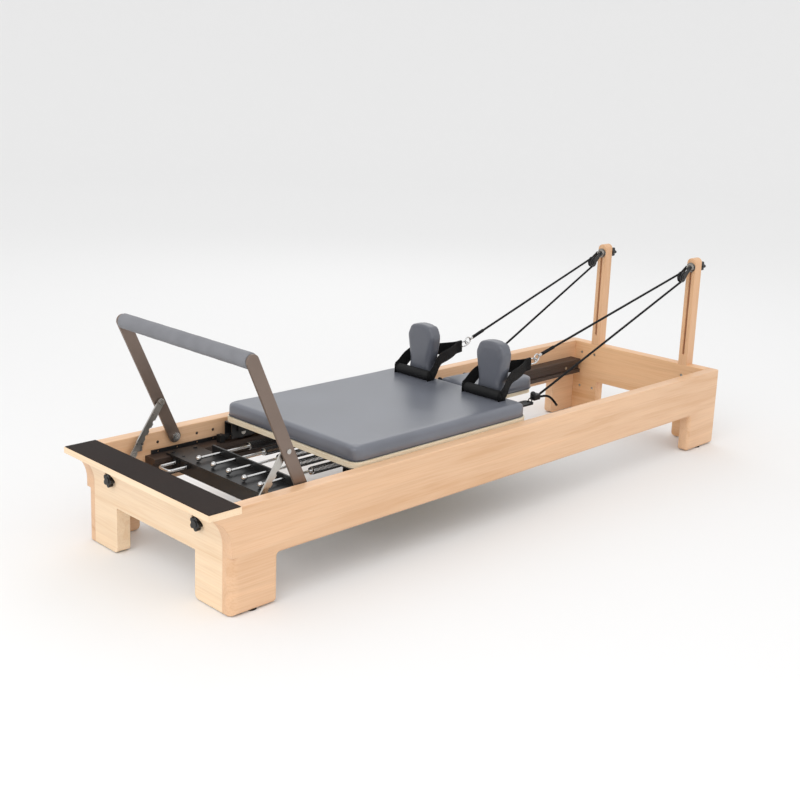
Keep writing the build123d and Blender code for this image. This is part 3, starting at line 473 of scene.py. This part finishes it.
def spline(points):
    """Points on a smooth curve through the guide points."""
    ext = [points[0] * 2 - points[1], *points, points[-1] * 2 - points[-2]]
    per = 8
    route = []
    for p0, p1, p2, p3 in zip(ext, ext[1:], ext[2:], ext[3:]):
        first = p2 - p0
        second = 2 * p0 - 5 * p1 + 4 * p2 - p3
        third = 3 * p1 - p0 - 3 * p2 + p3
        for k in range(per):
            t = k / per
            route.append(0.5 * (2 * p1 + first * t + second * t**2 + third * t**3))
    return route + [points[-1]]


def swept(name, route, section, wide=None, closed_ends=True):
    """A section of (across, up) points swept along a route, with UVs in metres along and round it."""
    bm = bmesh.new()
    uv = bm.loops.layers.uv.new("UVMap")
    rings, lengths, distance = [], [], 0.0
    for k, point in enumerate(route):
        ahead = route[min(k + 1, len(route) - 1)] - route[max(k - 1, 0)]
        ahead.normalize()
        across = (wide or ahead.cross(Vector((0, 0, 1)))).normalized()
        across = (across - ahead * across.dot(ahead)).normalized()
        up = across.cross(ahead)
        rings.append([bm.verts.new(point + across * a + up * b) for a, b in section])
        distance += (point - route[max(k - 1, 0)]).length
        lengths.append(distance)
    around = [0.0]
    for a, b in zip(section, section[1:] + section[:1]):
        around.append(around[-1] + math.dist(a, b))
    count = len(section)
    for k in range(len(rings) - 1):
        for j in range(count):
            beside = (j + 1) % count
            face = bm.faces.new((rings[k][j], rings[k][beside], rings[k + 1][beside], rings[k + 1][j]))
            places = ((k, j), (k, j + 1), (k + 1, j + 1), (k + 1, j))
            for loop, (a, b) in zip(face.loops, places):
                loop[uv].uv = (lengths[a], around[b])
    if closed_ends:
        bm.faces.new(rings[0][::-1])
        bm.faces.new(rings[-1])
    bmesh.ops.recalc_face_normals(bm, faces=bm.faces)
    return new_object(name, bm)


def round_section(radius, sides=14):
    """A circle of (across, up) points."""
    turns = [2 * math.pi * k / sides for k in range(sides)]
    return [(radius * math.cos(t), radius * math.sin(t)) for t in turns]


def flat_section(thick, width, corner=0.0007):
    """A strap's section with softened edges."""
    points = []
    steps = 3
    for sx, sy, start in ((1, 1, 0), (-1, 1, 90), (-1, -1, 180), (1, -1, 270)):
        cx, cy = sx * (thick / 2 - corner), sy * (width / 2 - corner)
        for k in range(steps + 1):
            turn = math.radians(start + 90 * k / steps)
            points.append((cx + corner * math.cos(turn), cy + corner * math.sin(turn)))
    return points


def rings_of(bm, profile, place, sides):
    """A ring of vertices for each (along, radius) of a profile.

    place(along, across, up) gives the point of a vertex.
    """
    turns = [2 * math.pi * k / sides for k in range(sides)]
    rings = []
    for along, radius in profile:
        points = [place(along, radius * math.cos(t), radius * math.sin(t)) for t in turns]
        rings.append([bm.verts.new(point) for point in points])
    return rings


def join_rings(bm, pairs):
    """Faces between the rings of each pair."""
    for a, b in pairs:
        for k in range(len(a)):
            beside = (k + 1) % len(a)
            bm.faces.new((a[k], a[beside], b[beside], b[k]))


# ---------------------------------------------------------------- upholstery
def stuffed(obj, cell, pressure, pinned):
    """Puffs a closed shape up a little under pressure, as a tight cover over foam does.

    cell is the size of the remesh, and pinned(vertex) tells the vertices that stay where they are.
    """
    remesh = obj.modifiers.new("remesh", "REMESH")
    remesh.mode = "VOXEL"
    remesh.voxel_size = cell
    apply_modifiers(obj)
    start = [v.co.copy() for v in obj.data.vertices]
    group = obj.vertex_groups.new(name="held")
    group.add([v.index for v in obj.data.vertices if pinned(v)], 1.0, "ADD")
    cloth = obj.modifiers.new("cover", "CLOTH")
    cloth.settings.quality = 4
    cloth.settings.mass = 0.4
    cloth.settings.tension_stiffness = 18
    cloth.settings.compression_stiffness = 18
    cloth.settings.bending_stiffness = 4
    cloth.settings.use_pressure = True
    cloth.settings.uniform_pressure_force = pressure
    cloth.settings.vertex_group_mass = "held"
    cloth.settings.effector_weights.gravity = 0
    cloth.collision_settings.use_collision = False
    scene = bpy.context.scene
    for number in range(1, CLOTH_FRAMES + 1):
        scene.frame_set(number)
    apply_modifiers(obj)
    scene.frame_set(1)
    for vertex, rest in zip(obj.data.vertices, start):
        move = vertex.co - rest
        if move.length > PUFF:
            vertex.co = rest + move.normalized() * PUFF
    smooth = obj.modifiers.new("smooth", "SMOOTH")
    smooth.iterations = 4
    subdivide = obj.modifiers.new("subdivide", "SUBSURF")
    subdivide.levels = 1
    apply_modifiers(obj)
    obj.data.shade_smooth()
    return obj


def outline_seam(name, low, high, z, corners):
    """A thin piped seam round a slab, a little proud of its side. corners is (foot, head) radii."""
    foot, head = corners
    points = []
    for sx, sy, start, r in ((1, 1, 0, head), (0, 1, 90, foot), (0, 0, 180, foot), (1, 0, 270, head)):
        cx = high.x - r if sx else low.x + r
        cy = high.y - r if sy else low.y + r
        for k in range(9):
            turn = math.radians(start + 90 * k / 8)
            points.append(Vector((cx + r * math.cos(turn), cy + r * math.sin(turn), z)))
    route = []
    for a, b in zip(points, points[1:] + points[:1]):
        count = max(1, math.ceil((b - a).length / 0.02))
        route += [a.lerp(b, k / count) for k in range(count)]
    return swept(name, route + [route[0]], round_section(SEAM_R, 8), closed_ends=False)


def make_slab_pad(node, body, corners):
    """A flat pad: a puffed cover with a seam near its bottom edge."""
    low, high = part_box(node)
    pad = stuffed(copy_of(node, f"{node}_cover"), 0.0055, 3.0, lambda v: v.co.z < low.z + 0.006)
    dress(pad, "vinyl", body)
    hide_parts(node)
    seam = outline_seam(f"{node}_seam", low, high, low.z + 0.004, corners)
    dress(seam, "seam", body)


def make_shoulder_pad(name):
    """The waisted pad of a shoulder rest."""
    node = f"shoulder_pad_{name}"
    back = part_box(node)[1].x
    pad = stuffed(copy_of(node, f"{node}_cover"), 0.0042, 3.5, lambda v: v.co.x > back - 0.004)
    dress(pad, "vinyl_rest", f"{name}_shoulder_rest")
    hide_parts(node)


def make_foam_roll(node, name, body, look, centre, size):
    """A foam sleeve along Y with rolled ends and very slightly uneven skin."""
    radius, bore, length = size
    half = length / 2
    end = [(-half, bore), (-half, radius - ROLL_LIP)]
    for degrees in (22, 45, 68, 90):
        turn = math.radians(degrees)
        end.append((-half + ROLL_LIP * (1 - math.cos(turn)), radius - ROLL_LIP * (1 - math.sin(turn))))
    count = max(8, round(length / 0.012))
    middle = []
    for k in range(1, count):
        along = -half + ROLL_LIP + (length - 2 * ROLL_LIP) * k / count
        uneven = 0.00018 * math.sin(along * 61) + 0.00012 * math.sin(along * 173)
        middle.append((along, radius + uneven))
    profile = end + middle + [(-along, r) for along, r in reversed(end)]
    bm = bmesh.new()
    rings = rings_of(bm, profile, lambda along, across, up: centre + Vector((across, along, up)), 40)
    join_rings(bm, zip(rings, rings[1:] + rings[:1]))
    bmesh.ops.recalc_face_normals(bm, faces=bm.faces)
    roll = dress(new_object(name, bm), look, body)
    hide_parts(node)


# ---------------------------------------------------------------- straps and ropes
def make_strap(name, side):
    """One webbing loop: out of the grip, round the D-ring's bar and back into the grip."""
    y = side * REST_Y
    one_side = [  # X, distance from the strap's middle, Z
        (GRIP_X, 0.0800, 0.3640),
        (1.171, 0.0765, 0.3790),
        (1.192, 0.0705, 0.4010),
        (1.216, 0.0635, 0.4130),
        (1.262, 0.0480, 0.4150),
        (1.312, 0.0275, 0.4165),
        (1.354, 0.0070, 0.4188),
        (1.3795, 0.0036, 0.4203),
    ]
    for way in (-1, 1):
        guide = [at(x, y + way * w, z) for x, w, z in one_side]
        which = "inner" if way * side < 0 else "outer"
        strip = swept(f"strap_{name}_{which}", spline(guide), flat_section(STRAP_THICK, STRAP_W))
        dress(strip, "webbing", "carriage")
        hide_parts("handle_straps")
    fold = [at(RING_X - 0.026, y, RING_Z - 0.002), at(RING_X + 0.001, y, RING_Z)]
    sewn = flat_section(0.0088, STRAP_W + 0.001, 0.002)
    dress(swept(f"strap_{name}_stitched_end", spline(fold), sewn), "webbing", "carriage")
    for letter, way in (("a", -1), ("b", 1)):
        make_strap_end(f"strap_{name}_end_{letter}", at(GRIP_X, y + way * STRAP_EDGE, ROLL_Z))


def make_strap_end(name, centre):
    """The webbing across one end of a hand roll."""
    cap = bmesh.new()
    bmesh.ops.create_cube(cap, size=1)
    place = Matrix.Translation(centre) @ Matrix.Diagonal((0.035, 0.004, 0.033, 1))
    bmesh.ops.transform(cap, matrix=place, verts=cap.verts)
    bmesh.ops.bevel(cap, geom=cap.edges[:], offset=0.0014, segments=3, affect="EDGES")
    dress(new_object(name, cap), "webbing", "carriage")


def sheave_wrap(side, top, low):
    """Points round the sheave, from where the upper strand meets it to where the lower one leaves."""
    centre = at(SHEAVE[0], side * RISER_Y, SHEAVE[1])
    angles = []
    for end, way in ((top, 1), (low, -1)):
        across, up = centre.x - end.x, centre.z - end.z
        lean = math.atan2(up, across) + way * math.asin(ROPE_BEND / math.hypot(across, up))
        angles.append(lean + way * math.pi / 2)
    steps = 24
    points = []
    for k in range(steps + 1):
        turn = angles[0] + (angles[1] - angles[0]) * k / steps
        points.append(centre + ROPE_BEND * Vector((math.cos(turn), 0, math.sin(turn))))
    return points


def make_rope(name, side):
    """A rope in five lengths: four strands fixed in place, and the bend, which goes with the pulley
    carrier.
    """
    top = at(RING_X + HOOK_REACH[0], side * REST_Y, RING_Z + HOOK_REACH[1])
    low = at(ADJUSTER_X, side * REST_Y, BOARD_Z + ROPE_IN)
    wrap = sheave_wrap(side, top, low)
    upper_split = wrap[0] + (top - wrap[0]).normalized() * SHEAVE_ROPE
    lower_split = wrap[-1] + (low - wrap[-1]).normalized() * SHEAVE_ROPE
    carrier = f"{name}_pulley_carrier"
    pieces = {
        "hand": (run(upper_split, top), "carriage"),
        "upper": (run(upper_split, wrap[0]), carrier),
        "bend": (wrap, None),
        "lower": (run(lower_split, wrap[-1]), carrier),
        "back": (run(lower_split, low), "carriage"),
    }
    for part, (points, body) in pieces.items():
        piece = swept(f"rope_{name}_{part}", points, round_section(ROPE_R))
        paint(piece, "rope")
        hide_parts(f"rope_{name}")
        if body is None:
            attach(piece, carrier)
        else:
            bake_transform(piece)
    covered = run(top, top + (wrap[0] - top).normalized() * ROPE_SLEEVE, 0.03)
    dress(swept(f"rope_{name}_sleeve", covered, round_section(ROPE_R + 0.0018)), "rope", "carriage")
    make_tail(name, side)


def make_tail(name, side):
    """The loose end past the adjuster."""
    x, y, z = ADJUSTER_X, side * REST_Y, BOARD_Z + ROPE_OUT
    points = [
        at(x, y, z),
        at(x + 0.029, y + side * 0.004, z + 0.003),
        at(x + 0.052, y + side * 0.018, z - 0.007),
        at(x + 0.063, y + side * 0.033, z - 0.034),
    ]
    route = nurbs_route(points)
    tail = dress(swept(f"rope_{name}_tail", route, round_section(ROPE_R)), "rope", "carriage")
    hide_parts(f"rope_{name}")


# ---------------------------------------------------------------- springs and marks
def turned(name, profile, centre):
    """A body turned about an X axis; profile is (x, radius) from one end to the other."""
    bm = bmesh.new()
    rings = rings_of(bm, profile, lambda along, across, up: centre + Vector((along, across, up)), 24)
    join_rings(bm, zip(rings, rings[1:]))
    bm.faces.new(rings[0])
    bm.faces.new(rings[-1][::-1])
    bmesh.ops.recalc_face_normals(bm, faces=bm.faces)
    obj = new_object(name, bm)
    obj.data.set_sharp_from_angle(angle=math.radians(40))
    return obj


def coil_route(centre):
    """A helix along X between the coils' ends."""
    steps = 18
    count = COIL_TURNS * steps
    route = []
    for k in range(count + 1):
        turn = 2 * math.pi * k / steps
        along = COIL[0] + (COIL[1] - COIL[0]) * k / count
        route.append(centre + Vector((along, COIL_R * math.cos(turn), COIL_R * math.sin(turn))))
    return route


def collar(start, before, after):
    """The flange at a coil's end, with the radii before and after it."""
    end = start + 0.004
    return [(start, before), (start, COLLAR_R), (end, COLLAR_R), (end, after)]


def make_springs():
    """Five springs with bright rod ends, the front rod on the frame and the back rod on the carriage, and
    fine coils fixed in place.
    """
    turns = (0.12, 0.4, 0.8, 1.2, 1.6, 2.0, 2.4, 2.67)
    ball = [(BALL_X - BALL_R * math.cos(t), BALL_R * math.sin(t)) for t in turns]
    front = [*ball, *collar(0.428, ROD_R, 0.002)]
    back = [*collar(0.624, 0.002, ROD_R), (0.668, ROD_R), (0.668, 0.001)]
    wire = [(0.0008 * a, 0.0016 * b) for a, b in round_section(1.0, 8)]
    for number, y in enumerate(SPRING_Y, 1):
        centre = at(0, y, SPRING_Z)
        dress(turned(f"spring_{number}_rod", front, centre), "chrome", "frame")
        dress(turned(f"spring_{number}_anchor_rod", back, centre), "chrome", "carriage")
        route = coil_route(centre)
        coil = dress(swept(f"spring_{number}_coil", route, wire, wide=Vector((1, 0, 0))), "spring", None)
        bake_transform(coil)
        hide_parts("tension_springs")


def brighten_studs():
    """The strut studs, which stand out from the arms' flat faces, in turned steel."""
    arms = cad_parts["footbar_arms"].data
    arms.materials.append(MATERIALS["bright"])
    slack = 0.00001
    for face in arms.polygons:
        if not ARM_FACES[0] - slack < abs(face.center.y) < ARM_FACES[1] + slack:
            face.material_index = 1


def make_marks():
    """Small position pips beside the index holes, on the inside of each rail."""
    disc = {"cap_ends": True, "segments": 24, "radius1": MARK_R, "radius2": MARK_R, "depth": 0.0006}
    for name, side in SIDES.items():
        bm = bmesh.new()
        for x in MARK_X:
            place = Matrix.Translation(at(x, side * MARK_Y, MARK_Z)) @ Matrix.Rotation(math.pi / 2, 4, "X")
            bmesh.ops.create_cone(bm, matrix=place, **disc)
        dress(new_object(f"position_marks_{name}", bm), "mark", "frame")


# ---------------------------------------------------------------- setting
def make_stage():
    """A plain pale floor that curves up all round into its backdrop, and a soft studio."""
    flat, bend = 11.0, 6.0
    profile = [(0.0, 0.01), (0.0, flat)]
    for k in range(1, 17):
        turn = math.radians(80 * k / 16)
        profile.append((bend - bend * math.cos(turn), flat + bend * math.sin(turn)))
    bm = bmesh.new()
    rings = rings_of(bm, profile, lambda height, x, y: (x, y, height), 96)
    join_rings(bm, zip(rings[1:], rings))
    bm.faces.new(rings[0])
    floor = new_object("floor", bm)
    s = Shader("floor", roughness=0.9)
    s.set("Specular IOR Level", 0.1)
    s.colour((0.87, 0.87, 0.87))
    floor.data.materials.append(s.material)
    world = bpy.data.worlds.new("studio")
    world.use_nodes = True
    backdrop = world.node_tree.nodes["Background"].inputs
    backdrop["Color"].default_value = (1, 1, 1, 1)
    backdrop["Strength"].default_value = 0.96
    bpy.context.scene.world = world
    bpy.context.scene.view_settings.view_transform = "Standard"
    add_light("key", (-3.6, -1.4, 3.4), 3.0, 54)
    add_light("fill", (0.6, -4.2, 2.6), 3.5, 14)
    add_light("rim", (2.6, 3.0, 3.2), 2.5, 14)


def add_light(name, place, size, power):
    """A square light that looks at the middle of the machine."""
    data = bpy.data.lights.new(name, "AREA")
    data.size = size
    data.energy = power
    light = bpy.data.objects.new(name, data)
    bpy.context.scene.collection.objects.link(light)
    light.location = place
    light.rotation_euler = (Vector((0, 0, 0.3)) - Vector(place)).to_track_quat("-Z", "Y").to_euler()


# ---------------------------------------------------------------- everything
make_camera()
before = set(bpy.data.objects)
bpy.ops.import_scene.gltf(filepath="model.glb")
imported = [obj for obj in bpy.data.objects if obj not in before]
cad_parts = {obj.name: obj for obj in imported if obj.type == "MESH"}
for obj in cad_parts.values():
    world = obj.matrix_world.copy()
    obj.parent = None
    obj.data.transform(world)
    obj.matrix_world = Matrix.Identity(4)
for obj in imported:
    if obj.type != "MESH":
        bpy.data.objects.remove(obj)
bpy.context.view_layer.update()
for look, names in NODE_LOOKS.items():
    for node_name in names:
        paint(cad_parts[node_name], look)
make_slab_pad("carriage_pad", "carriage", (0.028, 0.028))
make_slab_pad("headrest_pad", "headrest", (0.008, 0.038))
for side_name, way_y in SIDES.items():
    make_shoulder_pad(side_name)
    make_strap(side_name, way_y)
    make_rope(side_name, way_y)
    roll_centre = at(GRIP_X, way_y * REST_Y, ROLL_Z)
    make_foam_roll("handle_grips", f"hand_grip_{side_name}", "carriage", "black_foam", roll_centre, ROLL)
make_foam_roll("footbar_grip", "footbar_sleeve", "footbar", "foam", at(FOOTBAR[0], 0, FOOTBAR[1]), SLEEVE)
make_springs()
brighten_studs()
make_marks()
make_stage()
